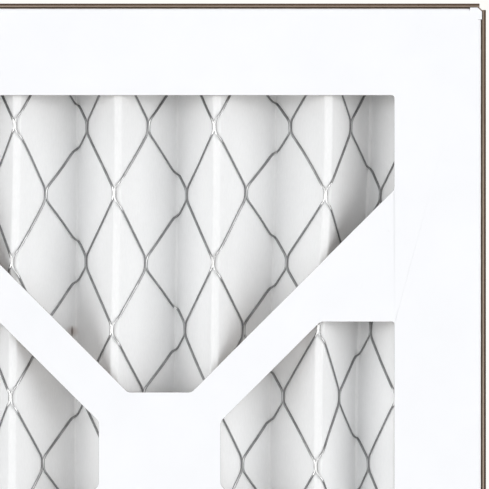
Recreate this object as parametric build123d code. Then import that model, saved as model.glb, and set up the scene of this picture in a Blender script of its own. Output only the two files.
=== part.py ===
from build123d import *
from math import asin, atan2, cos, hypot, sin, sqrt
import os

# A pleated panel air filter of nominal 12 x 12 x 1 inch, standing on its bottom edge.
# X is the width, Y the depth and Z the height. The air leaves through the front, which faces -Y.
WIDTH = 298.45
HEIGHT = 298.45
DEPTH = 19.05

# Frame halves: die-cut board, folded into two trays, the front one nested in the rear one.
BOARD = 0.9
BOARD_FOLD = 0.3  # inside radius of a folded edge
NEST_GAP = 0.1  # glue between the flaps of the two trays
EDGE_SETBACK = 0.25  # from the front face to the cut edge of the rear tray's flaps
FLAP_CLEARANCE = 0.3  # from the cut edge of the front tray's flaps to the rear face
CORNER_TIP = 3.0  # flat corner of a face, where the fold is relieved
TIP_CUT = 1.0  # of the flat corner, taken off at 45 degrees
SLIT = 0.2  # cut between a folded edge and the flat corner
WALL_GAP = 0.7  # between two flaps of the rear tray that meet at a corner

# Openings in both faces: straps crossing at 45 degrees in each column, on square hubs.
BORDER = 22.75
STRAP = 10.2
HUB = 30.2
CENTRE_BAR = 20.35
CROSS_SPACING = 75.45  # between the centres of the two crosses of a column

# Pleat pack: one sheet of media, with an expanded metal grid glued to its front.
PLEATS = 12
MEDIA = 1.2
CREST_LEAN = -2.4  # of every front crest, from the middle between its valleys
TAIL = 9.0  # end of the sheet, turned forward along the side flap
SEAT = 0.3  # from the pack to each face
GRID_THICKNESS = 0.4
GRID_GLUE = 0.05
GRID_FOLD = 0.2  # inside radius of the grid in a valley
GRID_ROWS = 10
STRAND = 0.9
BOND = 4.0  # length of the solid bar where two strands meet
SEALANT = 1.0  # bead along the pleated ends of the sheet
SIDE_SEALANT = 0.6  # bead behind each tail

# Sizes that follow.
fold = BOARD + BOARD_FOLD
nested_inset = BOARD + NEST_GAP
inside_inset = nested_inset + BOARD
inside_width = WIDTH - 2 * inside_inset
pack_height = HEIGHT - 2 * inside_inset - 2 * SEALANT
pack_bottom = inside_inset + SEALANT
media_fold = GRID_FOLD + GRID_THICKNESS + GRID_GLUE + MEDIA / 2
grid_back = MEDIA / 2 + GRID_GLUE
grid_front = grid_back + GRID_THICKNESS
tail_line = inside_width / 2 - SIDE_SEALANT - MEDIA / 2
pitch = 2 * (tail_line - media_fold) / PLEATS
crest_y = -DEPTH / 2 + BOARD + SEAT + grid_front + media_fold
valley_y = DEPTH / 2 - BOARD - SEAT - MEDIA / 2 - media_fold


def outline(points):
    """The flat area inside a closed run of straight lines."""
    return make_face(Polyline(*points, close=True))


def windows():
    """Every window of a face, drawn about the face's centre."""
    hub = HUB / 2
    strap = STRAP / sqrt(2)
    reach = (WIDTH - 2 * BORDER - CENTRE_BAR) / 4
    column_x = CENTRE_BAR / 2 + reach
    cross_y = CROSS_SPACING / 2
    end = HEIGHT / 2 - BORDER - cross_y
    side = (CROSS_SPACING - STRAP) / 2
    tip = hub - strap
    end_window = [(-tip, hub), (tip, hub), (reach, reach + strap), (reach, end)]
    end_window += [(-reach, end), (-reach, reach + strap)]
    side_window = [(hub, tip), (side + strap, side), (reach, side)]
    side_window += [(reach, -side), (side + strap, -side), (hub, -tip)]
    middle_window = [(tip, cross_y - hub), (cross_y - strap, 0), (tip, hub - cross_y)]
    middle_window += [(-tip, hub - cross_y), (strap - cross_y, 0), (-tip, cross_y - hub)]
    cut = []
    for x in (-column_x, column_x):
        cut.append(Pos(x, 0) * outline(middle_window))
        for y, turn in ((cross_y, 0), (-cross_y, 180)):
            cross = Pos(x, y) * Rot(0, 0, turn)
            cut.append(cross * outline(end_window))
            cut.append(cross * outline(side_window))
            cut.append(cross * Rot(0, 0, 180) * outline(side_window))
    return cut


def frame_half(inset, flap, end_gap):
    """A board tray, its face at depth 0 and its flaps folded back to the depth given."""
    width = WIDTH - 2 * inset
    height = HEIGHT - 2 * inset
    strip = fold + BOARD_FOLD
    face = chamfer(Rectangle(width, height).vertices(), TIP_CUT)
    flaps = []
    for turn, reach, length in (
        (0, width / 2, height),
        (90, height / 2, width),
        (180, width / 2, height),
        (270, height / 2, width),
    ):
        side = Rot(0, 0, turn)
        folded = length - 2 * CORNER_TIP
        face -= side * Pos(reach - strip / 2, 0) * Rectangle(strip, folded)
        outer = FilletPolyline((reach - strip, 0), (reach, 0), (reach, strip), radius=fold)
        inner = FilletPolyline(
            (reach - strip, BOARD), (reach - BOARD, BOARD), (reach - BOARD, strip), radius=BOARD_FOLD
        )
        ends = Line(outer @ 0, inner @ 0) + Line(outer @ 1, inner @ 1)
        bend = extrude(Plane.XZ * make_face(outer + inner + ends), folded / 2 - SLIT, both=True)
        wall = Pos(reach - BOARD / 2, 0, (strip + flap) / 2) * Box(
            BOARD, length - 2 * end_gap, flap - strip
        )
        flaps.append(side * (bend + wall))
    return extrude(face - windows(), BOARD) + flaps


def pleat_folds():
    """Centre and side of each fold, from the left valley to the right one: +1 is a crest."""
    left = -PLEATS * pitch / 2
    folds = [(Vector(left, valley_y), -1)]
    for n in range(PLEATS):
        folds.append((Vector(left + (n + 0.5) * pitch + CREST_LEAN, crest_y), 1))
        folds.append((Vector(left + (n + 1) * pitch, valley_y), -1))
    return folds


def pleat_normals(folds):
    """Forward normal of the left tail, of each flank and of the right tail."""
    normals = [Vector(1, 0)]
    for (start, side), (end, _) in zip(folds, folds[1:]):
        run = end - start
        heading = atan2(run.Y, run.X) + side * asin(2 * media_fold / hypot(run.X, run.Y))
        normals.append(Vector(sin(heading), -cos(heading)))
    return normals + [Vector(-1, 0)]


def pleat_line(offset):
    """The rounded line of the sheet at a distance in front of its middle, tail to tail."""
    folds = pleat_folds()
    normals = pleat_normals(folds)
    tail = Vector(0, -TAIL)
    arcs = []
    for (centre, side), before, after in zip(folds, normals, normals[1:]):
        arm = side * (media_fold + side * offset)
        bisector = (before + after).normalized()
        arcs.append([centre + arm * before, centre + arm * bisector, centre + arm * after])
    edges = [Line(arcs[0][0] + tail, arcs[0][0]), Line(arcs[-1][2], arcs[-1][2] + tail)]
    edges += [ThreePointArc(*arc) for arc in arcs]
    edges += [Line(arc[2], following[0]) for arc, following in zip(arcs, arcs[1:])]
    return edges


def media():
    """The pleated sheet, tails and all."""
    rear_line = Wire(pleat_line(-MEDIA / 2))
    front_line = Wire(pleat_line(MEDIA / 2))
    ends = [Line(rear_line @ 0, front_line @ 0), Line(rear_line @ 1, front_line @ 1)]
    return extrude(make_face(rear_line.edges() + front_line.edges() + ends), pack_height)


def creased_line(offset):
    """The pleat line with a flat over every crest and one across every valley, and no tails."""
    folds = pleat_folds()
    normals = pleat_normals(folds)
    forward = Vector(0, -1)
    points = []
    for (centre, side), before, after in zip(folds, normals, normals[1:]):
        arm = side * (media_fold + side * offset)
        if side > 0:
            points += [centre + arm * mitre(before, forward), centre + arm * mitre(forward, after)]
        else:
            points += [centre + arm * before, centre + arm * after]
    return points[1:-1]


def mitre(first, second):
    """Vector to the corner where two lines at unit distance meet."""
    return (first + second) / (1 + first.dot(second))


def creased_layer(back, front, height):
    """A layer between two distances in front of the middle of the media."""
    return extrude(outline([*creased_line(back), *reversed(creased_line(front))]), height)


def grid():
    """Expanded metal: six-sided gaps cut through a creased sheet, less the scraps that fall off."""
    row = pack_height / GRID_ROWS
    half_width = pitch / 2 - STRAND
    tip = row - BOND / 2
    gap_points = [(half_width, -BOND / 2), (half_width, BOND / 2), (0, tip)]
    gap_points += [(-half_width, BOND / 2), (-half_width, -BOND / 2), (0, -tip)]
    gap = extrude(Plane.XZ * outline(gap_points), DEPTH, both=True)
    middle_flank = -PLEATS * pitch / 2 + (pitch / 2 + CREST_LEAN) / 2
    gaps = []
    for n in range(-1, GRID_ROWS + 1):
        for column in range(PLEATS + 1):
            x = middle_flank + (column - (n % 2) / 2) * pitch
            gaps.append(Pos(x, 0, (n + 0.5) * row) * gap)
    cut = creased_layer(grid_back, grid_front, pack_height) - gaps
    return cut.solids().sort_by(SortBy.VOLUME)[-1]


def side_sealant(side):
    """The bead between one tail and the flap beside it."""
    x = side * (inside_width / 2 - SIDE_SEALANT / 2)
    return Pos(x, valley_y - TAIL / 2, pack_height / 2) * Box(SIDE_SEALANT, TAIL, pack_height)


front_face = Plane(origin=(0, -DEPTH / 2, HEIGHT / 2), x_dir=(-1, 0, 0), z_dir=(0, 1, 0))
rear_face = Plane(origin=(0, DEPTH / 2, HEIGHT / 2), x_dir=(1, 0, 0), z_dir=(0, -1, 0))
pack = Pos(0, 0, pack_bottom)
end_bead = creased_layer(-MEDIA / 2, grid_front, SEALANT)

nodes = {
    "front_frame_half": front_face
    * frame_half(nested_inset, DEPTH - BOARD - FLAP_CLEARANCE, CORNER_TIP),
    "rear_frame_half": rear_face * frame_half(0, DEPTH - EDGE_SETBACK, BOARD + WALL_GAP),
    "pleated_media": pack * media(),
    "support_grid": pack * grid(),
    "top_sealant": pack * Pos(0, 0, pack_height) * end_bead,
    "bottom_sealant": Pos(0, 0, inside_inset) * end_bead,
    "left_sealant": pack * side_sealant(-1),
    "right_sealant": pack * side_sealant(1),
}

os.makedirs("parts", exist_ok=True)
for name, piece in nodes.items():
    export_step(piece, f"parts/{name}.step")
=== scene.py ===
import math

import bmesh
import bpy
from mathutils import Matrix, Vector, noise


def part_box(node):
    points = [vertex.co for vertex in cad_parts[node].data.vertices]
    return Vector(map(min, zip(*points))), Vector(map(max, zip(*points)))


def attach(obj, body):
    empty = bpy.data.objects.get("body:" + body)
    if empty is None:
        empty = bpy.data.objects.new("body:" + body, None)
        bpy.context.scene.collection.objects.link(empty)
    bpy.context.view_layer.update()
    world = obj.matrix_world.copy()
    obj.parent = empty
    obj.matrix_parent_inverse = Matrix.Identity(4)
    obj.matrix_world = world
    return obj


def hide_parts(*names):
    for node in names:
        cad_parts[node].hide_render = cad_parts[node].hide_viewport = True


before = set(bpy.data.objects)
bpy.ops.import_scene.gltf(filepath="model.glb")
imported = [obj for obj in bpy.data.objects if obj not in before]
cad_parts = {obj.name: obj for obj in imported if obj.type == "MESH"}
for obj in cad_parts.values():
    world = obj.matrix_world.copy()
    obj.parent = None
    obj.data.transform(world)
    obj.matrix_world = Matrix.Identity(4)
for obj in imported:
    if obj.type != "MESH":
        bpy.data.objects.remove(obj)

bl_info = {
    "name": "Pleated Panel Air Filter",
    "version": (1, 0, 0),
    "blender": (4, 5, 0),
    "location": "3D View > Sidebar > Air Filter",
    "description": "Die-cut board frame, pleated sheet and expanded metal grid of a panel air filter",
    "category": "Add Mesh",
}

MM = 0.001
NEAR = 1e-6  # two places closer than this are one

# How finely the curves are cut.
BOARD_FOLD_FACETS = 8
WINDOW_CORNER_FACETS = 5
CUT_EDGE_FACETS = 2
CREST_FACETS = 7  # half of a crest
VALLEY_FACETS = 4  # half of a valley
FLANK_FACETS = 6
SHEET_ROWS = 60
FLOOR_SIDES = 96

COATED, LINED, CUT = range(3)  # material slots of the board
PLIES = (  # place through the thickness, from the coated face, and colour
    (0.01, (0.20, 0.15, 0.12)),
    (0.06, (0.045, 0.028, 0.020)),
    (0.50, (0.060, 0.038, 0.027)),
    (0.64, (0.33, 0.27, 0.22)),
    (0.90, (0.36, 0.30, 0.25)),
    (0.97, (0.16, 0.12, 0.09)),
)
# Waves of the flanks: strength, rate per flank, rate per metre of height, and layer of the noise.
RIPPLES = ((1.0, 1.7, 26.0, 0.0), (0.5, 3.1, 61.0, 4.0))
STRAY_LAYER = Vector((0.0, 0.0, 7.0))  # layer of the noise that moves bonds sideways
LAST_BAR = 0.9  # share of the last flank's rest that the grid's last bar covers
WHITE = (1.0, 1.0, 1.0, 1.0)
CLIP_END = 100.0  # metres that the camera sees


# ---------------------------------------------------------------- settings


def length(name, default_mm, description):
    """A length property, its default in millimetres."""
    return bpy.props.FloatProperty(
        name=name, default=default_mm * MM, unit="LENGTH", precision=5, description=description
    )


def lengths(name, default_mm, description):
    """A row of length properties, their defaults in millimetres."""
    return bpy.props.FloatVectorProperty(
        name=name,
        size=len(default_mm),
        default=[value * MM for value in default_mm],
        unit="LENGTH",
        precision=5,
        description=description,
    )


def number(name, default, description, **more):
    """A plain number, power or angle property."""
    return bpy.props.FloatProperty(name=name, default=default, description=description, **more)


def colour(name, default, description):
    """A linear colour property."""
    return bpy.props.FloatVectorProperty(
        name=name, default=default, min=0.0, max=1.0, subtype="COLOR", description=description
    )


class AirFilterBoard(bpy.types.PropertyGroup):
    """Sizes and colours of the two board trays."""

    thickness: length("Thickness", 0.9, "Thickness of the board")
    fold_radius: length("Fold radius", 1.2, "Outside radius of a folded edge")
    inset: length("Inset", 1.0, "From the rear tray's outside to the front tray's")
    rear_setback: length("Rear setback", 0.25, "From the front face to the rear tray's cut edge")
    front_setback: length("Front setback", 0.3, "From the front tray's cut edge to the rear board")
    corner_tip: length("Corner tip", 3.0, "Flat corner of a face, where the fold is relieved")
    tip_cut: length("Tip cut", 1.0, "Corner of a face that is cut off at 45 degrees")
    flap_end: length("Flap end", 1.6, "From the rear tray's corner to the end of its flaps")
    border: length("Border", 22.75, "From the outside to the windows")
    strap: length("Strap", 10.2, "Width of a strap")
    hub: length("Hub", 30.2, "Side of a square hub")
    centre_bar: length("Centre bar", 20.35, "Width of the bar between the two columns")
    cross_spacing: length("Cross spacing", 75.45, "Between the two crosses of a column")
    window_radius: length("Window radius", 0.7, "Radius of a window's corners")
    edge_radius: length("Edge radius", 0.09, "Rounding of a die-cut edge")
    edge_angle: number(
        "Edge angle", math.radians(50), "Least turn of an edge that is rounded", unit="ROTATION"
    )
    # The two crack shares and the two crack depths below set where the fold coating turns dark:
    # partly real cracked coating, partly painted shade of the crevice between the trays.
    front_crack_shade: number("Front wear", 1.0, "How far the coating is cracked on the front folds")
    rear_crack_shade: number("Rear wear", 0.24, "How far the coating is cracked on the rear folds")
    crack_shade_start: number("Crack start", 0.4, "Depth where cracks begin, as a share of the fold")
    crack_shade_end: number("Crack end", 0.85, "Depth where cracks end, as a share of the fold")
    coating: colour("Coating", (0.855, 0.865, 0.893), "Clay coating")
    coating_dim: colour("Coating, dim", (0.835, 0.845, 0.875), "Clay coating where it is thin")
    # Colour of the bare board in the cracks, kept dark as painted shade of the crevice between the
    # trays.
    bare_and_shade: colour("Bare", (0.20, 0.155, 0.12), "Board in the cracks of the coating")
    liner: colour("Liner", (0.37, 0.275, 0.195), "Uncoated inside")
    liner_dark: colour("Liner, dark", (0.26, 0.185, 0.125), "Darker fibres of the inside")
    soil: colour("Soil", (0.125, 0.083, 0.056), "Patches of dirt on the cut edges")


class AirFilterPack(bpy.types.PropertyGroup):
    """Sizes and colours of the pleated sheet."""

    pleats: bpy.props.IntProperty(name="Pleats", default=12, min=2, description="Number of pleats")
    thickness: length("Thickness", 1.2, "Thickness of the sheet")
    fold_radius: length("Fold radius", 1.25, "Radius of a fold, to the middle of the sheet")
    crest_lean: length("Crest lean", -2.4, "Of every crest, from the middle between its valleys")
    tail: length("Tail", 9.0, "End of the sheet, turned forward along the side flap")
    crest_power: number("Crest power", 22.0, "How flat the crests are pressed, 2 being round")
    ripple: length("Ripple", 0.16, "Waviness of the flanks")
    sway_low: length("Sway low", 195.0, "Height where the lower sideways shifts hold")
    sway_high: length("Sway high", 272.0, "Height where the upper sideways shifts hold")
    crest_top: lengths(
        "Crest top",
        (0.3, -0.5, 0.8, -0.4, 0.6, 1.0, -0.3, -0.8, 0.1, 0.5, 3.9, 0.8),
        "Sideways shift of each crest near the top",
    )
    crest_low: lengths(
        "Crest low",
        (0.8, -0.9, -0.2, -1.1, 0.4, -0.3, -1.2, -2.0, -0.9, -0.2, 1.3, -3.0),
        "Sideways shift of each crest further down",
    )
    valley_top: lengths(
        "Valley top",
        (0.0, 0.2, -0.4, 0.5, -0.3, 0.6, 0.2, -0.5, -0.9, 0.1, 0.6, 0.2, 0.0),
        "Sideways shift of each valley near the top",
    )
    valley_low: lengths(
        "Valley low",
        (0.0, -0.3, 0.2, -0.4, 0.5, -0.2, -0.6, -1.2, -1.4, -0.6, -0.9, -3.3, 0.0),
        "Sideways shift of each valley further down",
    )
    stain_x: length("Stain X", 46.1, "Middle of the stain, from the middle of the filter")
    stain_z: length("Stain Z", 216.9, "Height of the middle of the stain")
    stain_width: length("Stain width", 0.4, "Half width of the dark streak")
    stain_height: length("Stain height", 1.7, "Half height of the dark streak")
    stain_halo: length("Stain halo", 1.9, "Radius of the faint stain round the streak")
    stain: colour("Stain", (0.13, 0.095, 0.08), "Dark streak")
    stain_faint: colour("Stain, faint", (0.62, 0.57, 0.55), "Stain round the streak")
    fibre: colour("Fibre", (0.873, 0.88, 0.888), "Media where its fibres are dense")
    fibre_dim: colour("Fibre, dim", (0.825, 0.832, 0.84), "Media where its fibres are thin")


class AirFilterGrid(bpy.types.PropertyGroup):
    """Sizes and colours of the expanded metal grid."""

    strand: length("Strand", 0.48, "Width of a strand")
    metal: length("Metal", 0.26, "Thickness of the metal at a strand's edges")
    crown: length("Crown", 0.06, "How far the middle of a strand's face stands out")
    crown_angle: number(
        "Crown angle", math.radians(35), "Sharpest edge shaded smooth", unit="ROTATION"
    )
    lift: length("Lift", 0.85, "From the middle of the sheet to the middle of the grid")
    rise: length("Rise", 33.7, "From one bond of a column to the next")
    first_bond: length("First bond", 32.15, "Height of the lowest bond of an even column")
    bond: length("Bond", 3.0, "Length of a bond")
    bend: length("Bend", 1.1, "Length over which a strand bends into its bond")
    before_crest: length("Before crest", 0.5, "From a crest back to a column of bonds")
    after_crest: length("After crest", 10.2, "From a crest on to the next column of bonds")
    after_valley: length("After valley", 25.5, "From a crest on to the column past the valley")
    wander: length("Wander", 0.7, "How far a bond strays from its place")
    wave_rate: number("Wave rate", 45.0, "How fast the straying changes, per metre")
    step: length("Step", 0.6, "Length of one facet of a strand")
    lean: number("Lean", 0.34, "Slope of a strand's face, upwards")
    kink: length("Kink", 0.45, "Sideways jog of a strand on each side of a valley")
    kink_width: length("Kink width", 0.4, "Half width of the jog")
    kink_reach: length("Kink reach", 3.5, "From a valley to where the jog has faded")
    # Painted highlights: the glint, shine and bond settings below lift the metal's colour towards a
    # pale highlight colour at the valley bottoms, over the crests, along the middle of every strand
    # and in the middle of each bond.
    kink_glint: number("Kink glint", 0.7, "Polish of a strand at the bottom of a valley")
    crest_glint: number("Crest glint", 0.85, "Polish of a strand over a crest")
    glint_width: length("Glint width", 1.3, "Half width of the polished length over a crest")
    crown_shine: number("Crown shine", 0.5, "Polish along the middle of every strand")
    bond_edge: number("Bond edge", 14.0, "How soon the polish of a bond ends")
    polished: colour("Polished", (0.86, 0.865, 0.87), "Polished metal")
    dull: colour("Dull", (0.33, 0.334, 0.34), "Sheared metal")
    dull_dark: colour("Dull, dark", (0.24, 0.243, 0.247), "Darker spangles of the sheared metal")


class AirFilterSealant(bpy.types.PropertyGroup):
    """Colours of the sealant beads."""

    melt: colour("Melt", (0.87, 0.84, 0.76), "Sealant")
    melt_dim: colour("Melt, dim", (0.80, 0.76, 0.66), "Sealant where it is thick")


class AirFilterStage(bpy.types.PropertyGroup):
    """Camera, lights and floor."""

    view_x: length("View x", 89.35, "Middle of the view across")
    view_z: length("View z", 238.7, "Middle of the view upwards")
    view_width: length("View width", 121.2, "Width of the view at the front face")
    distance: length("Distance", 1300.0, "From the lens to the front face")
    floor_radius: length("Floor radius", 3600.0, "Radius of the floor")
    fade_start: length("Fade start", 450.0, "Radius past which the floor begins to fade out")
    fade_end: length("Fade end", 1500.0, "Radius past which the floor isn't seen")
    side_power: number("Side power", 14.4, "Of each side light", unit="POWER")
    side_angle: number("Side angle", math.radians(55), "Of the side lights", unit="ROTATION")
    side_width: length("Side width", 1600.0, "Width of a side light")
    front_power: number("Front power", 5.7, "Of the front light", unit="POWER")
    front_width: length("Front width", 650.0, "Width of the front light")
    top_power: number("Top power", 10.0, "Of the light overhead", unit="POWER")
    lamp_distance: length("Lamp distance", 2000.0, "From the object to each light")
    lamp_tall: length("Lamp tall", 760.0, "Upright side of every light")
    lamp_height: length("Lamp height", 430.0, "Of the low lights above the floor")
    fill: number("Fill", 0.44, "Strength of the light all round")
    background: colour("Background", (1.0, 0.991, 0.956), "What the camera sees past the floor")
    floor: colour("Floor", (0.86, 0.855, 0.84), "Floor")
    floor_dim: colour("Floor, dim", (0.847, 0.842, 0.827), "Darker grain of the floor")


# ---------------------------------------------------------------- materials


def new_material(name):
    """A node material, its shader, a helper that adds nodes and one that links them."""
    made = bpy.data.materials.new(name)
    made.use_nodes = True
    tree = made.node_tree
    shader = next(n for n in tree.nodes if n.type == "BSDF_PRINCIPLED")

    def add(kind, inputs=(), **settings):
        node = tree.nodes.new(kind)
        for key, value in settings.items():
            setattr(node, key, value)
        for key, value in dict(inputs).items():
            if isinstance(value, bpy.types.NodeSocket):
                tree.links.new(value, node.inputs[key])
            else:
                node.inputs[key].default_value = value
        return node

    return made, shader, add, tree.links.new


def colour_ramp(add, factor, stops):
    """A ramp with a linear colour at each place."""
    node = add("ShaderNodeValToRGB", {"Fac": factor})
    ramp = node.color_ramp
    while len(ramp.elements) < len(stops):
        ramp.elements.new(0.5)
    for element, (place, shade) in zip(ramp.elements, stops):
        element.position = place
        element.color = (*shade, 1)
    return node.outputs["Color"]


def coated_board(s):
    """White clay-coated face of the board."""
    made, shader, add, link = new_material("coated_board")
    place = add("ShaderNodeTexCoord").outputs["Object"]
    fibres = add("ShaderNodeTexNoise", {"Vector": place, "Scale": 900.0, "Detail": 5.0})
    cloud = add("ShaderNodeTexNoise", {"Vector": place, "Scale": 55.0, "Detail": 2.0})
    coat = colour_ramp(add, cloud.outputs["Fac"], [(0.3, s.coating_dim), (0.7, s.coating)])
    # The fold cracks take the bare colour: partly real cracked coating, partly painted shade of the
    # crevice between the trays.
    crack_shade = add("ShaderNodeAttribute", attribute_name="crack_shade").outputs["Fac"]
    flecks = add("ShaderNodeTexNoise", {"Vector": place, "Scale": 420.0, "Detail": 4.0})
    flecked_crack_shade = add("ShaderNodeMath", {0: crack_shade, 1: flecks.outputs["Fac"]}, operation="ADD")
    bare_and_shade = add(
        "ShaderNodeMapRange", {"Value": flecked_crack_shade.outputs["Value"], "From Min": 0.76, "From Max": 1.0}
    )
    coat_and_crack_shade = add(
        "ShaderNodeMix",
        {"Factor": bare_and_shade.outputs["Result"], "A": coat, "B": (*s.bare_and_shade, 1)},
        data_type="RGBA",
    )
    rough = add(
        "ShaderNodeMapRange", {"Value": fibres.outputs["Fac"], "To Min": 0.5, "To Max": 0.66}
    )
    bump = add(
        "ShaderNodeBump", {"Height": fibres.outputs["Fac"], "Strength": 0.12, "Distance": 0.00006}
    )
    link(coat_and_crack_shade.outputs["Result"], shader.inputs["Base Color"])
    link(rough.outputs["Result"], shader.inputs["Roughness"])
    link(bump.outputs["Normal"], shader.inputs["Normal"])
    shader.inputs["Specular IOR Level"].default_value = 0.22
    return made


def kraft_liner(s):
    """Brown uncoated inside of the board."""
    made, shader, add, link = new_material("kraft_liner")
    place = add("ShaderNodeTexCoord").outputs["Object"]
    fibres = add("ShaderNodeTexNoise", {"Vector": place, "Scale": 700.0, "Detail": 8.0})
    brown = colour_ramp(add, fibres.outputs["Fac"], [(0.3, s.liner_dark), (0.7, s.liner)])
    bump = add(
        "ShaderNodeBump", {"Height": fibres.outputs["Fac"], "Strength": 0.3, "Distance": 0.0001}
    )
    link(brown, shader.inputs["Base Color"])
    link(bump.outputs["Normal"], shader.inputs["Normal"])
    shader.inputs["Roughness"].default_value = 0.9
    return made


def cut_edge(s):
    """Die-cut edge: a dark ply and a paler one between two thin skins, all a little fuzzy."""
    made, shader, add, link = new_material("cut_edge")
    place = add("ShaderNodeTexCoord").outputs["Object"]
    ply = add("ShaderNodeAttribute", attribute_name="ply").outputs["Fac"]
    fuzz = add("ShaderNodeTexNoise", {"Vector": place, "Scale": 1400.0, "Detail": 6.0})
    wander = add(
        "ShaderNodeMath", {0: fuzz.outputs["Fac"], 1: 0.22, 2: -0.11}, operation="MULTIPLY_ADD"
    )
    depth = add("ShaderNodeMath", {0: ply, 1: wander.outputs["Value"]}, operation="ADD")
    plies = colour_ramp(add, depth.outputs["Value"], PLIES)
    patches = add("ShaderNodeTexNoise", {"Vector": place, "Scale": 9.0, "Detail": 6.0})
    soiled = add(
        "ShaderNodeMapRange",
        {"Value": patches.outputs["Fac"], "From Min": 0.35, "From Max": 0.65, "To Max": 0.5},
    )
    mixed = add(
        "ShaderNodeMix",
        {"Factor": soiled.outputs["Result"], "A": plies, "B": (*s.soil, 1)},
        data_type="RGBA",
    )
    bump = add(
        "ShaderNodeBump", {"Height": fuzz.outputs["Fac"], "Strength": 0.6, "Distance": 0.0001}
    )
    link(mixed.outputs["Result"], shader.inputs["Base Color"])
    link(bump.outputs["Normal"], shader.inputs["Normal"])
    shader.inputs["Roughness"].default_value = 0.95
    shader.inputs["Specular IOR Level"].default_value = 0.2
    return made


def nonwoven_media(s):
    """White nonwoven sheet of short fibres pressed flat, with one small brown stain."""
    made, shader, add, link = new_material("nonwoven_media")
    place = add("ShaderNodeTexCoord").outputs["Object"]
    layers = []
    for turn, stretch in ((0.35, 0.22), (-0.6, 0.3), (1.4, 0.25)):
        turned = add(
            "ShaderNodeMapping",
            {"Vector": place, "Rotation": (0.0, turn, 0.0), "Scale": (1.0, 1.0, stretch)},
        )
        layers.append(
            add(
                "ShaderNodeTexNoise",
                {"Vector": turned.outputs["Vector"], "Scale": 2600.0, "Detail": 3.0},
            ).outputs["Fac"]
        )
    first = add("ShaderNodeMath", {0: layers[0], 1: layers[1]}, operation="MAXIMUM")
    fibres = add("ShaderNodeMath", {0: first.outputs["Value"], 1: layers[2]}, operation="MAXIMUM")
    cloud = add("ShaderNodeTexNoise", {"Vector": place, "Scale": 70.0, "Detail": 3.0})
    both = add(
        "ShaderNodeMath",
        {0: cloud.outputs["Fac"], 1: 0.5, 2: fibres.outputs["Value"]},
        operation="MULTIPLY_ADD",
    )
    white = colour_ramp(add, both.outputs["Value"], [(0.6, s.fibre_dim), (1.0, s.fibre)])
    middle = Vector((s.stain_x, 0.0, s.stain_z))
    for width, height, stain in (
        (s.stain_halo, s.stain_halo, s.stain_faint),
        (s.stain_width, s.stain_height, s.stain),
    ):
        scale = Vector((1 / width, 0.0, 1 / height))
        centred = add(
            "ShaderNodeMapping", {"Vector": place, "Location": -scale * middle, "Scale": scale}
        )
        away = add("ShaderNodeVectorMath", {0: centred.outputs["Vector"]}, operation="LENGTH")
        soaked = add(
            "ShaderNodeMapRange",
            {"Value": away.outputs["Value"], "From Min": 1.0, "From Max": 0.3, "To Max": 0.75},
            interpolation_type="SMOOTHSTEP",
        )
        white = add(
            "ShaderNodeMix",
            {"Factor": soaked.outputs["Result"], "A": white, "B": (*stain, 1)},
            data_type="RGBA",
        ).outputs["Result"]
    bump = add(
        "ShaderNodeBump",
        {"Height": fibres.outputs["Value"], "Strength": 0.35, "Distance": 0.00008},
    )
    link(white, shader.inputs["Base Color"])
    link(bump.outputs["Normal"], shader.inputs["Normal"])
    shader.inputs["Roughness"].default_value = 0.95
    shader.inputs["Specular IOR Level"].default_value = 0.15
    shader.inputs["Sheen Weight"].default_value = 0.08
    return made


def grid_metal(s):
    """Galvanized metal: dull where it was sheared, with painted highlights along its bonds, down the
    middle of its strands and over the crests and valleys.
    """
    made, shader, add, link = new_material("grid_metal")
    place = add("ShaderNodeTexCoord").outputs["Object"]
    spangle = add("ShaderNodeTexNoise", {"Vector": place, "Scale": 350.0, "Detail": 3.0})
    scratch = add("ShaderNodeTexNoise", {"Vector": place, "Scale": 3000.0, "Detail": 4.0})
    dull = colour_ramp(add, spangle.outputs["Fac"], [(0.3, s.dull_dark), (0.7, s.dull)])
    # Painted highlights: this attribute lifts the dull colour towards the pale highlight colour.
    painted_shine = add("ShaderNodeAttribute", attribute_name="painted_shine").outputs["Fac"]
    mottle = add(
        "ShaderNodeMath", {0: spangle.outputs["Fac"], 1: 0.5, 2: -0.25}, operation="MULTIPLY_ADD"
    )
    uneven = add("ShaderNodeMath", {0: painted_shine, 1: mottle.outputs["Value"]}, operation="ADD")
    highlight_share = add(
        "ShaderNodeMapRange", {"Value": uneven.outputs["Value"], "From Min": 0.4, "From Max": 1.0}
    )
    grey = add(
        "ShaderNodeMix",
        {"Factor": highlight_share.outputs["Result"], "A": dull, "B": (*s.polished, 1)},
        data_type="RGBA",
    )
    rough = add(
        "ShaderNodeMapRange", {"Value": scratch.outputs["Fac"], "To Min": 0.24, "To Max": 0.42}
    )
    bump = add(
        "ShaderNodeBump", {"Height": scratch.outputs["Fac"], "Strength": 0.15, "Distance": 0.00003}
    )
    link(grey.outputs["Result"], shader.inputs["Base Color"])
    link(rough.outputs["Result"], shader.inputs["Roughness"])
    link(bump.outputs["Normal"], shader.inputs["Normal"])
    shader.inputs["Metallic"].default_value = 1.0
    return made


def hot_melt(s):
    """Milky hot-melt sealant, smooth and slightly lumpy."""
    made, shader, add, link = new_material("hot_melt")
    place = add("ShaderNodeTexCoord").outputs["Object"]
    lumps = add("ShaderNodeTexNoise", {"Vector": place, "Scale": 160.0, "Detail": 2.0})
    milky = colour_ramp(add, lumps.outputs["Fac"], [(0.3, s.melt_dim), (0.7, s.melt)])
    bump = add(
        "ShaderNodeBump", {"Height": lumps.outputs["Fac"], "Strength": 0.5, "Distance": 0.0004}
    )
    link(milky, shader.inputs["Base Color"])
    link(bump.outputs["Normal"], shader.inputs["Normal"])
    shader.inputs["Roughness"].default_value = 0.35
    return made


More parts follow.
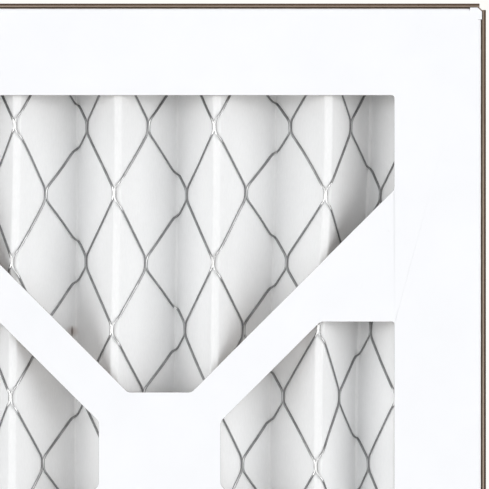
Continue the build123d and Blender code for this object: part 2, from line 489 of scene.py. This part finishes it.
def camera_rays(tree):
    """1 for all that the camera sees, mirrored or through glass too, and 0 for other light."""
    path = tree.nodes.new("ShaderNodeLightPath")
    shown = path.outputs["Is Camera Ray"]
    for ray in ("Is Glossy Ray", "Is Transmission Ray"):
        either = tree.nodes.new("ShaderNodeMath")
        either.operation = "MAXIMUM"
        tree.links.new(shown, either.inputs[0])
        tree.links.new(path.outputs[ray], either.inputs[1])
        shown = either.outputs["Value"]
    return shown


def floor_surface(s):
    """Matte, faintly uneven floor that the camera sees fade out between two radii."""
    made, shader, add, link = new_material("studio_floor")
    place = add("ShaderNodeTexCoord").outputs["Object"]
    grain = add("ShaderNodeTexNoise", {"Vector": place, "Scale": 40.0, "Detail": 3.0})
    pale = colour_ramp(add, grain.outputs["Fac"], [(0.3, s.floor_dim), (0.7, s.floor)])
    link(pale, shader.inputs["Base Color"])
    shader.inputs["Roughness"].default_value = 0.9
    away = add("ShaderNodeVectorMath", {0: place}, operation="LENGTH").outputs["Value"]
    fade = add(
        "ShaderNodeMapRange",
        {"Value": away, "From Min": s.fade_start, "From Max": s.fade_end},
        interpolation_type="SMOOTHSTEP",
    )
    shown = add(
        "ShaderNodeMath",
        {0: fade.outputs["Result"], 1: camera_rays(made.node_tree)},
        operation="MULTIPLY",
    )
    open_air = add("ShaderNodeBsdfTransparent").outputs["BSDF"]
    mix = add(
        "ShaderNodeMixShader",
        {"Fac": shown.outputs["Value"], 1: shader.outputs["BSDF"], 2: open_air},
    )
    output = next(n for n in made.node_tree.nodes if n.type == "OUTPUT_MATERIAL")
    link(mix.outputs["Shader"], output.inputs["Surface"])
    return made


# ---------------------------------------------------------------- shapes


def link_new(name, data):
    """A new object for its data, linked to the scene."""
    made = bpy.data.objects.new(name, data)
    bpy.context.scene.collection.objects.link(made)
    return made


def add_piece(name, bm, materials, slot, *nodes):
    """Makes a piece from its bmesh, and lets it stand for the CAD nodes."""
    mesh = bpy.data.meshes.new(name)
    bm.to_mesh(mesh)
    bm.free()
    piece = link_new(name, mesh)
    for made in materials:
        mesh.materials.append(made)
    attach(piece, "root")
    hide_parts(*nodes)
    return piece


def add_loop(bm, points):
    """A closed run of wire edges, its vertices returned."""
    verts = [bm.verts.new((x, y, 0)) for x, y in points]
    for first, second in zip(verts, verts[1:] + verts[:1]):
        bm.edges.new((first, second))
    return verts


def window_points(s, width, height):
    """The corners of every window of a face, about its centre."""
    hub = s.hub / 2
    strap = s.strap / math.sqrt(2)
    reach = (width - 2 * s.border - s.centre_bar) / 4
    column_x = s.centre_bar / 2 + reach
    cross_y = s.cross_spacing / 2
    end = height / 2 - s.border - cross_y
    side = (s.cross_spacing - s.strap) / 2
    tip = hub - strap
    end_window = [(-tip, hub), (tip, hub), (reach, reach + strap), (reach, end)]
    end_window += [(-reach, end), (-reach, reach + strap)]
    side_window = [(hub, tip), (side + strap, side), (reach, side)]
    side_window += [(reach, -side), (side + strap, -side), (hub, -tip)]
    middle_window = [(tip, cross_y - hub), (cross_y - strap, 0), (tip, hub - cross_y)]
    middle_window += [(-tip, hub - cross_y), (strap - cross_y, 0), (-tip, cross_y - hub)]
    found = []
    for x in (-column_x, column_x):
        found.append([(x + px, py) for px, py in middle_window])
        for way in (1, -1):
            y = way * cross_y
            found.append([(x + px, y + way * py) for px, py in end_window])
            found.append([(x + px, y + py) for px, py in side_window])
            found.append([(x - px, y + py) for px, py in side_window])
    return found


def face_outline(s, width, height):
    """The flat part of a tray's face: folded edges between relieved corner tips."""
    corner = [(s.fold_radius, s.corner_tip), (0.0, s.corner_tip), (0.0, s.tip_cut)]
    corner += [(y, x) for x, y in reversed(corner)]
    points = []
    for way_x, way_y in ((1, 1), (-1, 1), (-1, -1), (1, -1)):
        run = corner if way_x == way_y else reversed(corner)
        points += [(way_x * (width / 2 - x), way_y * (height / 2 - y)) for x, y in run]
    return points


def grow(bm, edges, vec):
    """Draws a strip out of free edges, and returns the vertices of its far side."""
    grown = bmesh.ops.extrude_edge_only(bm, edges=edges)["geom"]
    far = [g for g in grown if isinstance(g, bmesh.types.BMVert)]
    bmesh.ops.translate(bm, verts=far, vec=vec)
    return far


def fold_flap(s, bm, turn, reach, run, flap, flap_end):
    """Folds a flap back from one side of the face: the fold, the wall, then the wall's ends."""
    side = Matrix.Rotation(turn * math.pi / 2, 3, "Z")
    out, along = side @ Vector((1, 0, 0)), side @ Vector((0, 1, 0))
    line = reach / 2 - s.fold_radius
    half = run / 2 - s.corner_tip

    def hinged(v):
        """Whether a vertex is an end of the edge that the flap hangs from."""
        past_line = v.co.dot(out) - line
        past_end = abs(v.co.dot(along)) - half
        return max(abs(past_line), abs(past_end), abs(v.co.z)) < NEAR

    hinge = next(e for e in bm.edges if all(hinged(v) for v in e.verts))
    bent = bmesh.ops.spin(
        bm,
        geom=[hinge, *hinge.verts],
        cent=out * line + Vector((0, 0, s.fold_radius)),
        axis=-along,
        angle=math.pi / 2,
        steps=BOARD_FOLD_FACETS,
    )["geom_last"]
    last = [g for g in bent if isinstance(g, bmesh.types.BMEdge)]
    low = grow(bm, last, (0, 0, flap - s.fold_radius))
    for way in (1, -1):
        end = [
            e
            for v in low
            if v.co.dot(along) * way > 0
            for e in v.link_edges
            if abs(e.verts[0].co.dot(along) - e.verts[1].co.dot(along)) < NEAR
        ]
        grow(bm, end, along * way * (run / 2 - flap_end - half))


def thicken_board(s, bm, ply, crack_shade, crack_shade_strength):
    """Marks the cracks of the folds, darkened partly as painted shade of the crevice between the
    trays, gives the skin its thickness and marks the plies.
    """
    for v in bm.verts:
        # Cracked coating at mid depth of a fold: partly real, partly painted shade of the crevice
        # between the trays.
        v[crack_shade] = crack_shade_strength if s.crack_shade_start < v.co.z / s.fold_radius < s.crack_shade_end else 0.0
    outside = set(bm.verts)
    skin = set(bm.faces)
    bmesh.ops.solidify(bm, geom=bm.faces[:], thickness=s.thickness)
    for v in bm.verts:
        v[ply] = 0.0 if v in outside else 1.0
    for f in bm.faces:
        sides = {v in outside for v in f.verts}
        if len(sides) == 2:
            f.material_index = CUT
        else:
            f.material_index = COATED if f in skin or True in sides else LINED
        f.smooth = True


def board_tray(s, size, inset, flap, flap_end, crack_shade_strength, matrix):
    """A folded tray as a bmesh; its face lies at depth 0 and its flaps go back from it."""
    width, height = (side - 2 * inset for side in size)
    bm = bmesh.new()
    ply = bm.verts.layers.float.new("ply")
    crack_shade = bm.verts.layers.float.new("crack_shade")
    add_loop(bm, face_outline(s, width, height))
    corners = []
    for points in window_points(s, *size):
        corners += add_loop(bm, points)
    bmesh.ops.bevel(
        bm,
        geom=corners,
        offset=s.window_radius,
        segments=WINDOW_CORNER_FACETS,
        profile=0.5,
        affect="VERTICES",
        material=-1,
    )
    bmesh.ops.triangle_fill(bm, edges=bm.edges[:], use_beauty=True, normal=(0, 0, -1))
    for turn in range(4):
        reach, run = (height, width) if turn % 2 else (width, height)
        fold_flap(s, bm, turn, reach, run, flap, flap_end)
    bmesh.ops.recalc_face_normals(bm, faces=bm.faces[:])
    if sum(f.normal.z * f.calc_area() for f in bm.faces) > 0:
        bmesh.ops.reverse_faces(bm, faces=bm.faces[:])
    thicken_board(s, bm, ply, crack_shade, crack_shade_strength)
    bmesh.ops.transform(bm, matrix=matrix, verts=bm.verts[:])
    bmesh.ops.recalc_face_normals(bm, faces=bm.faces[:])
    return bm


def soften_edges(s, piece):
    """Takes the sharpness off the die-cut edges."""
    soft = piece.modifiers.new("die_cut_edge", "BEVEL")
    soft.width = s.edge_radius
    soft.segments = CUT_EDGE_FACETS
    soft.limit_method = "ANGLE"
    soft.angle_limit = s.edge_angle
    soft.harden_normals = True


class PleatLine:
    """Where the folded sheet runs at every height. Even folds are valleys, odd ones crests.

    Lengths are true on the neutral layer, a distance in front of the sheet's middle.
    """

    def __init__(self, s, neutral=0.0):
        low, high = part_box("pleated_media")
        inset = s.thickness / 2 + s.fold_radius
        self.neutral = neutral
        self.pleats = s.pleats
        self.radius = s.fold_radius
        self.low, self.high = low.z, high.z
        self.front, self.rear = low.y + inset, high.y - inset
        self.left = low.x + inset
        self.pitch = (high.x - inset - self.left) / s.pleats
        self.last = 2 * s.pleats
        self.crests = list(s.crest_low), list(s.crest_top)
        self.valleys = list(s.valley_low), list(s.valley_top)
        self.sway = s.sway_low, s.sway_high
        self.lean, self.tail, self.ripple = s.crest_lean, s.tail, s.ripple
        self.power = s.crest_power
        self.spans = [self.span(k, 0.0)[-1] for k in (0, 1)]  # up to the first crest, and down

    def fold(self, k, z):
        """Centre of a fold's rounding."""
        share = (z - self.sway[0]) / (self.sway[1] - self.sway[0])
        share = min(max(share, 0.0), 1.0)
        share *= share * (3 - 2 * share)
        n = k // 2
        if k % 2:
            shift = self.lean + self.pitch / 2
            low, top = self.crests
            depth = self.front
        else:
            shift = 0.0
            low, top = self.valleys
            depth = self.rear
        return self.left + n * self.pitch + shift + low[n] + share * (top[n] - low[n]), depth

    def heading(self, k, z):
        """Direction of the flank from fold k to the next one."""
        if k < 0:
            return math.pi / 2
        if k >= self.last:
            return -math.pi / 2
        (x, y), (to_x, to_y) = self.fold(k, z), self.fold(k + 1, z)
        side = 1 if k % 2 else -1
        run = math.hypot(to_x - x, to_y - y)
        return math.atan2(to_y - y, to_x - x) + side * math.asin(2 * self.radius / run)

    def span(self, k, z):
        """Half of fold k, the flank after it, half of the next fold, and all of them."""
        here = self.heading(k, z)
        first = last = 0.0
        straight = self.tail
        side = 1 if k % 2 else -1
        if k >= 0:
            bend = self.radius + side * self.neutral
            first = bend * abs(here - self.heading(k - 1, z)) / 2
        if k < self.last:
            bend = self.radius - side * self.neutral
            last = bend * abs(self.heading(k + 1, z) - here) / 2
        if 0 <= k < self.last:
            (x, y), (to_x, to_y) = self.fold(k, z), self.fold(k + 1, z)
            run = math.hypot(to_x - x, to_y - y)
            straight = math.sqrt(run * run - 4 * self.radius * self.radius)
        return first, straight, last, first + straight + last

    def around(self, k, h, before, after, z, lift):
        """A point of the fold where the sheet has heading h. A crest is pressed nearly flat."""
        x, y = self.fold(k, z)
        arm = lift - self.radius
        if k % 2:
            faces = (math.cos(h - before), math.cos(h), math.cos(h - after))
            flatness = sum(max(c, 0.0) ** self.power for c in faces) ** (-1 / self.power)
            arm = (lift + self.radius) * flatness
        return x + arm * math.sin(h), y - arm * math.cos(h)

    def place(self, t, z, lift):
        """Point at station t, which counts folds from the left valley, in front of the middle."""
        k = min(max(math.floor(t), -1), self.last)
        first, straight, last, whole = self.span(k, z)
        here = self.heading(k, z)
        along = (t - k) * whole
        wave = sum(
            strength * noise.noise(Vector((t * across, z * up, layer)))
            for strength, across, up, layer in RIPPLES
        )
        lift += self.ripple * wave * math.sin(math.pi * min(max(t - k, 0.0), 1.0)) ** 2
        if along < first:
            before = self.heading(k - 1, z)
            middle = (before + here) / 2
            h = middle + (here - middle) * along / first
            x, y = self.around(k, h, before, here, z, lift)
        elif along > first + straight and last:
            after = self.heading(k + 1, z)
            middle = (here + after) / 2
            h = here + (middle - here) * (along - first - straight) / last
            x, y = self.around(k + 1, h, here, after, z, lift)
        else:
            if k < 0:
                x, y = self.fold(0, z)
                gone = along - straight
                arm = lift - self.radius
            else:
                x, y = self.fold(k, z)
                gone = along - first
                arm = lift + (self.radius if k % 2 else -self.radius)
            x += arm * math.sin(here) + gone * math.cos(here)
            y += gone * math.sin(here) - arm * math.cos(here)
        return Vector((x, y, z))

    def station(self, distance, z):
        """The station at a distance along the sheet from the first crest, evened out by pleats."""
        n, rest = divmod(distance / sum(self.spans), 1)
        k = 2 * int(n) + 1
        falling = self.span(k, z)[-1] if k >= 0 else self.spans[1]
        rising = self.span(k + 1, z)[-1] if k + 1 < self.last else self.spans[0]
        rest *= falling + rising
        if rest < falling:
            return k + rest / falling
        return k + 1 + (rest - falling) / rising


def sheet_stations(line):
    """Stations of the sheet's columns: close together round the folds, wide on the flanks."""
    found = [-1.0, -0.6]  # the left tail
    for k in range(-1, line.last + 1):
        first, straight, _, whole = line.span(k, 0.0)
        start, end = first / whole, (first + straight) / whole
        if k >= 0:
            facets = CREST_FACETS if k % 2 else VALLEY_FACETS
            found += [k + start * n / facets for n in range(facets)]
            found += [k + start + (end - start) * n / FLANK_FACETS for n in range(FLANK_FACETS)]
        if k < line.last:
            facets = VALLEY_FACETS if k % 2 else CREST_FACETS
            found += [k + end + (1 - end) * n / facets for n in range(facets)]
    found.append(line.last + 1.0)
    return found


def pleated_sheet(s):
    """The folded sheet as a bmesh: a flat grid, carried to its place fold by fold."""
    line = PleatLine(s)
    stations = sheet_stations(line)
    columns = len(stations) - 1
    bm = bmesh.new()
    bmesh.ops.create_grid(bm, x_segments=columns, y_segments=SHEET_ROWS, size=0.5)
    front = bm.verts[:]
    flat = {v: (stations[round((v.co.x + 0.5) * columns)], v.co.y + 0.5) for v in front}
    copy = bmesh.ops.duplicate(bm, geom=bm.faces[:] + bm.edges[:] + front)
    twin = copy["vert_map"]
    back = {twin[v]: flat[v] for v in front}
    bmesh.ops.reverse_faces(bm, faces=[g for g in copy["geom"] if isinstance(g, bmesh.types.BMFace)])
    for verts, lift in ((flat, s.thickness / 2), (back, -s.thickness / 2)):
        for v, (t, share) in verts.items():
            v.co = line.place(t, line.low + share * (line.high - line.low), lift)
    bmesh.ops.bridge_loops(bm, edges=[e for e in bm.edges if e.is_boundary])
    bmesh.ops.recalc_face_normals(bm, faces=bm.faces[:])
    for f in bm.faces:
        f.smooth = True
    return bm, sum(line.span(k, 0.0)[-1] for k in range(-1, line.last + 1))


def soft_ramp(value, bend):
    """0 below 0 and 1 above 1, straight between, rounded over bend at both ends."""
    if value > 0.5:
        return 1 - soft_ramp(1 - value, bend)
    if value < -bend:
        return 0.0
    return value if value > bend else (value + bend) ** 2 / (4 * bend)


def bond_columns(s, line):
    """How far along the sheet each column of bonds is from the first crest."""
    pair = sum(line.spans)
    columns = [s.after_valley - pair]
    for n in range(line.pleats):
        crest = n * pair
        columns += [crest - s.before_crest, crest + s.after_crest, crest + s.after_valley]
    columns[-1] = columns[-2] + (line.spans[1] - s.after_crest) * LAST_BAR
    return columns


def blank_bars(bm, number, cuts):
    """Upright unit bars, crowned in front and cut across: the vertices of each."""
    bmesh.ops.create_cube(bm, size=1.0)
    front = [e for e in bm.edges if all(v.co.y > 0 for v in e.verts)]
    level = [e for e in front if abs(e.verts[0].co.x + e.verts[1].co.x) < NEAR]
    bmesh.ops.subdivide_edges(bm, edges=level, cuts=1)
    upright = [e for e in bm.edges if abs(e.verts[0].co.z - e.verts[1].co.z) > NEAR]
    bmesh.ops.subdivide_edges(bm, edges=upright, cuts=cuts, use_grid_fill=True)
    first = bm.verts[:] + bm.edges[:] + bm.faces[:]
    bars = [bm.verts[:]]
    for _ in range(number - 1):
        copy = bmesh.ops.duplicate(bm, geom=first)["geom"]
        bars.append([g for g in copy if isinstance(g, bmesh.types.BMVert)])
    return bars


def bar_rings(s, line, left, right, start, cuts):
    """Height, middle, slope, painted highlight of both bonds and glint, at each cut of a bar."""
    near, far = left + s.strand / 2, right - s.strand / 2
    half = s.rise / 2
    pair = sum(line.spans)
    height = line.high - line.low

    def share(z):
        """How far the bar has gone from its left bonds, 0, to its right ones, 1."""
        away = abs((z - start + half) % s.rise - half)
        return soft_ramp((away - s.bond / 2) / (half - s.bond), s.bend / half)

    rings = []
    for n in range(cuts + 2):
        z = line.low + n * height / (cuts + 1)
        gone = share(z)
        slope = (far - near) * (share(z + s.step / 2) - share(z - s.step / 2)) / s.step
        middle = near + (far - near) * gone
        station = line.station(middle, z)
        past_valley = ((station + 1) % 2 - 1) * pair / 2
        past_crest = (station % 2 - 1) * pair / 2
        kink = s.kink * math.tanh(past_valley / s.kink_width)
        kink *= math.exp(-((past_valley / s.kink_reach) ** 2))
        # Painted highlights of the bonds, the crests and the valley bottoms.
        bond = max(0.0, 1 - s.bond_edge * gone), max(0.0, 1 - s.bond_edge * (1 - gone))
        glint = s.crest_glint * math.exp(-((past_crest / s.glint_width) ** 2))
        glint = max(glint, s.kink_glint * math.exp(-((past_valley / s.kink_width) ** 2)))
        rings.append((z, middle + kink, math.atan(slope), bond, glint))
    return rings


def place_bar(s, line, bar, rings, painted_shine):
    """Carries a bar's vertices to their places on the folded sheet, and marks their painted
    highlights.
    """
    for v in bar:
        z, middle, slope, bond, glint = rings[round((v.co.z + 0.5) * (len(rings) - 1))]
        side = round(2 * v.co.x)
        crowned = v.co.y > 0
        rise = -v.co.x * s.strand * math.sin(slope)
        lift = s.lift + v.co.y * s.metal - s.lean * rise
        if crowned and side == 0:
            lift += s.crown
        along = middle + v.co.x * s.strand * math.cos(slope)
        place = s.wave_rate * Vector((along, z, 0.0))
        level = z + rise + s.wander * noise.noise(place)
        level = min(max(level, line.low), line.high)
        stray = s.wander * noise.noise(place + STRAY_LAYER)
        v.co = line.place(line.station(along + stray, level), level, lift)
        # Painted highlight on the front: bond middles where bars meet, crest and valley glints, and a
        # lighter line down each strand.
        if crowned:
            glint *= 1 - max(bond)
            v[painted_shine] = (bond[0], max(s.crown_shine, glint), bond[1])[side + 1]


def metal_grid(s, pack):
    """The expanded metal as a bmesh: one bar per gap between two columns of bonds."""
    line = PleatLine(pack, s.lift)
    columns = bond_columns(s, line)
    cuts = round((line.high - line.low) / s.step)
    bm = bmesh.new()
    # Painted highlights, kept per vertex.
    painted_shine = bm.verts.layers.float.new("painted_shine")
    bars = blank_bars(bm, len(columns) - 1, cuts)
    for n, (bar, left, right) in enumerate(zip(bars, columns, columns[1:])):
        start = s.first_bond + (n % 2) * s.rise / 2
        place_bar(s, line, bar, bar_rings(s, line, left, right, start, cuts), painted_shine)
    bmesh.ops.recalc_face_normals(bm, faces=bm.faces[:])
    for f in bm.faces:
        f.smooth = True
    for e in bm.edges:
        e.smooth = e.is_boundary or e.calc_face_angle(0.0) < s.crown_angle
    return bm


# ---------------------------------------------------------------- stage


def floor_disc(s):
    """The floor, a disc under the filter."""
    bm = bmesh.new()
    bmesh.ops.create_circle(bm, cap_ends=True, segments=FLOOR_SIDES, radius=s.floor_radius)
    mesh = bpy.data.meshes.new("studio_floor")
    bm.to_mesh(mesh)
    bm.free()
    mesh.materials.append(floor_surface(s))
    return link_new("studio_floor", mesh)


def studio_world(s):
    """Plain background for the camera, and a soft light all round for the rest."""
    world = bpy.data.worlds.new("studio")
    world.use_nodes = True
    nodes, links = world.node_tree.nodes, world.node_tree.links
    nodes.clear()
    seen = nodes.new("ShaderNodeBackground")
    seen.inputs["Color"].default_value = (*s.background, 1)
    around = nodes.new("ShaderNodeBackground")
    around.inputs["Color"].default_value = WHITE
    around.inputs["Strength"].default_value = s.fill
    mix = nodes.new("ShaderNodeMixShader")
    out = nodes.new("ShaderNodeOutputWorld")
    links.new(camera_rays(world.node_tree), mix.inputs["Fac"])
    links.new(around.outputs["Background"], mix.inputs[1])
    links.new(seen.outputs["Background"], mix.inputs[2])
    links.new(mix.outputs["Shader"], out.inputs["Surface"])
    return world


def add_lamps(s):
    """Four low lights round the filter and one overhead, turned towards the view's height."""
    low, reach = s.lamp_height, s.lamp_distance
    rear = math.pi + s.side_angle / 2
    target = Vector((0, 0, s.view_z))
    for name, turn, away, height, power, width in (
        ("left_light", -s.side_angle, reach, low, s.side_power, s.side_width),
        ("right_light", s.side_angle, reach, low, s.side_power, s.side_width),
        ("front_light", 0.0, reach, low, s.front_power, s.front_width),
        ("rear_light", rear, reach, low, s.side_power, s.side_width),
        ("top_light", 0.0, 0.0, reach, s.top_power, s.side_width),
    ):
        data = bpy.data.lights.new(name, "AREA")
        data.shape = "RECTANGLE"
        data.size = width
        data.size_y = s.lamp_tall
        data.energy = power
        lamp = link_new(name, data)
        lamp.location = (away * math.sin(turn), -away * math.cos(turn), height)
        lamp.rotation_euler = (target - lamp.location).to_track_quat("-Z", "Y").to_euler()
        lamp.visible_camera = False


def add_camera(s, front):
    """The camera, level and square to the front face."""
    data = bpy.data.cameras.new("camera")
    data.lens = data.sensor_width * s.distance / s.view_width
    data.clip_end = CLIP_END
    camera = link_new("camera", data)
    camera.location = (s.view_x, front - s.distance, s.view_z)
    camera.rotation_euler = (math.pi / 2, 0, 0)
    return camera


# ---------------------------------------------------------------- operators


class AIRFILTER_OT_frame(bpy.types.Operator):
    """Folds the two board trays with their windows"""

    bl_idname = "airfilter.frame"
    bl_label = "Board Frame"
    bl_options = {"REGISTER", "UNDO"}

    def execute(self, context):
        s = context.scene.air_filter_board
        low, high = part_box("rear_frame_half")
        front_low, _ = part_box("front_frame_half")
        size = high - low
        middle = (low + high) / 2
        finish = [coated_board(s), kraft_liner(s), cut_edge(s)]
        depth = high.y - front_low.y
        rear = Matrix(((-1, 0, 0, 0), (0, 0, -1, high.y), (0, 1, 0, middle.z), (0, 0, 0, 1)))
        front = Matrix(((1, 0, 0, 0), (0, 0, 1, front_low.y), (0, 1, 0, middle.z), (0, 0, 0, 1)))
        rear_flap = depth - s.rear_setback
        front_flap = depth - s.thickness - s.front_setback
        # Each tray gets its share of cracked coating, which is partly painted shade of the crevice
        # between the trays.
        for end, inset, flap, flap_end, crack_shade_strength, matrix in (
            ("rear", 0.0, rear_flap, s.flap_end, s.rear_crack_shade, rear),
            ("front", s.inset, front_flap, s.corner_tip, s.front_crack_shade, front),
        ):
            tray = board_tray(s, (size.x, size.z), inset, flap, flap_end, crack_shade_strength, matrix)
            name = f"{end}_frame_board"
            soften_edges(s, add_piece(name, tray, finish, "frame_board", f"{end}_frame_half"))
        return {"FINISHED"}


class AIRFILTER_OT_media(bpy.types.Operator):
    """Folds the sheet of media into its pleats"""

    bl_idname = "airfilter.media"
    bl_label = "Pleated Sheet"
    bl_options = {"REGISTER", "UNDO"}

    def execute(self, context):
        s = context.scene.air_filter_pack
        bm, flat = pleated_sheet(s)
        sheet = add_piece("pleated_sheet", bm, [nonwoven_media(s)], "filter_media", "pleated_media")
        return {"FINISHED"}


class AIRFILTER_OT_grid(bpy.types.Operator):
    """Lays the expanded metal grid over the pleats"""

    bl_idname = "airfilter.grid"
    bl_label = "Metal Grid"
    bl_options = {"REGISTER", "UNDO"}

    def execute(self, context):
        s = context.scene.air_filter_grid
        bm = metal_grid(s, context.scene.air_filter_pack)
        add_piece("metal_grid", bm, [grid_metal(s)], "grid_metal", "support_grid")
        return {"FINISHED"}


class AIRFILTER_OT_sealant(bpy.types.Operator):
    """Gives the sealant beads their finish"""

    bl_idname = "airfilter.sealant"
    bl_label = "Sealant Beads"
    bl_options = {"REGISTER", "UNDO"}

    def execute(self, context):
        made = hot_melt(context.scene.air_filter_sealant)
        for end in ("top", "bottom", "left", "right"):
            for place in bpy.data.objects[f"{end}_sealant"].material_slots:
                place.material = made
        return {"FINISHED"}


class AIRFILTER_OT_stage(bpy.types.Operator):
    """Sets the floor, the soft light and the camera"""

    bl_idname = "airfilter.stage"
    bl_label = "Studio"
    bl_options = {"REGISTER", "UNDO"}

    def execute(self, context):
        s = context.scene.air_filter_stage
        scene = context.scene
        scene.view_settings.view_transform = "Standard"
        floor = floor_disc(s)
        scene.world = studio_world(s)
        add_lamps(s)
        scene.camera = add_camera(s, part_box("front_frame_half")[0].y)
        return {"FINISHED"}


class AIRFILTER_PT_panel(bpy.types.Panel):
    """Builds the filter piece by piece"""

    bl_label = "Air Filter"
    bl_space_type = "VIEW_3D"
    bl_region_type = "UI"
    bl_category = "Air Filter"

    def draw(self, context):
        scene = context.scene
        for label, group, operator in (
            ("Frame", scene.air_filter_board, AIRFILTER_OT_frame),
            ("Media", scene.air_filter_pack, AIRFILTER_OT_media),
            ("Grid", scene.air_filter_grid, AIRFILTER_OT_grid),
            ("Sealant", scene.air_filter_sealant, AIRFILTER_OT_sealant),
            ("Studio", scene.air_filter_stage, AIRFILTER_OT_stage),
        ):
            box = self.layout.box()
            box.label(text=label)
            for name in group.__annotations__:
                box.prop(group, name)
            box.operator(operator.bl_idname)


GROUPS = {
    "air_filter_board": AirFilterBoard,
    "air_filter_pack": AirFilterPack,
    "air_filter_grid": AirFilterGrid,
    "air_filter_sealant": AirFilterSealant,
    "air_filter_stage": AirFilterStage,
}
CLASSES = (
    *GROUPS.values(),
    AIRFILTER_OT_frame,
    AIRFILTER_OT_media,
    AIRFILTER_OT_grid,
    AIRFILTER_OT_sealant,
    AIRFILTER_OT_stage,
    AIRFILTER_PT_panel,
)


def register():
    """Adds the operators, the panel and the settings."""
    for made in CLASSES:
        bpy.utils.register_class(made)
    for name, group in GROUPS.items():
        setattr(bpy.types.Scene, name, bpy.props.PointerProperty(type=group))


def unregister():
    """Takes away what register adds."""
    for name in GROUPS:
        delattr(bpy.types.Scene, name)
    for made in reversed(CLASSES):
        bpy.utils.unregister_class(made)


def main():
    """Builds the filter and its stage."""
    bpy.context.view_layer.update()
    register()
    bpy.ops.airfilter.frame()
    bpy.ops.airfilter.media()
    bpy.ops.airfilter.grid()
    bpy.ops.airfilter.sealant()
    bpy.ops.airfilter.stage()


if __name__ == "__main__":
    main()
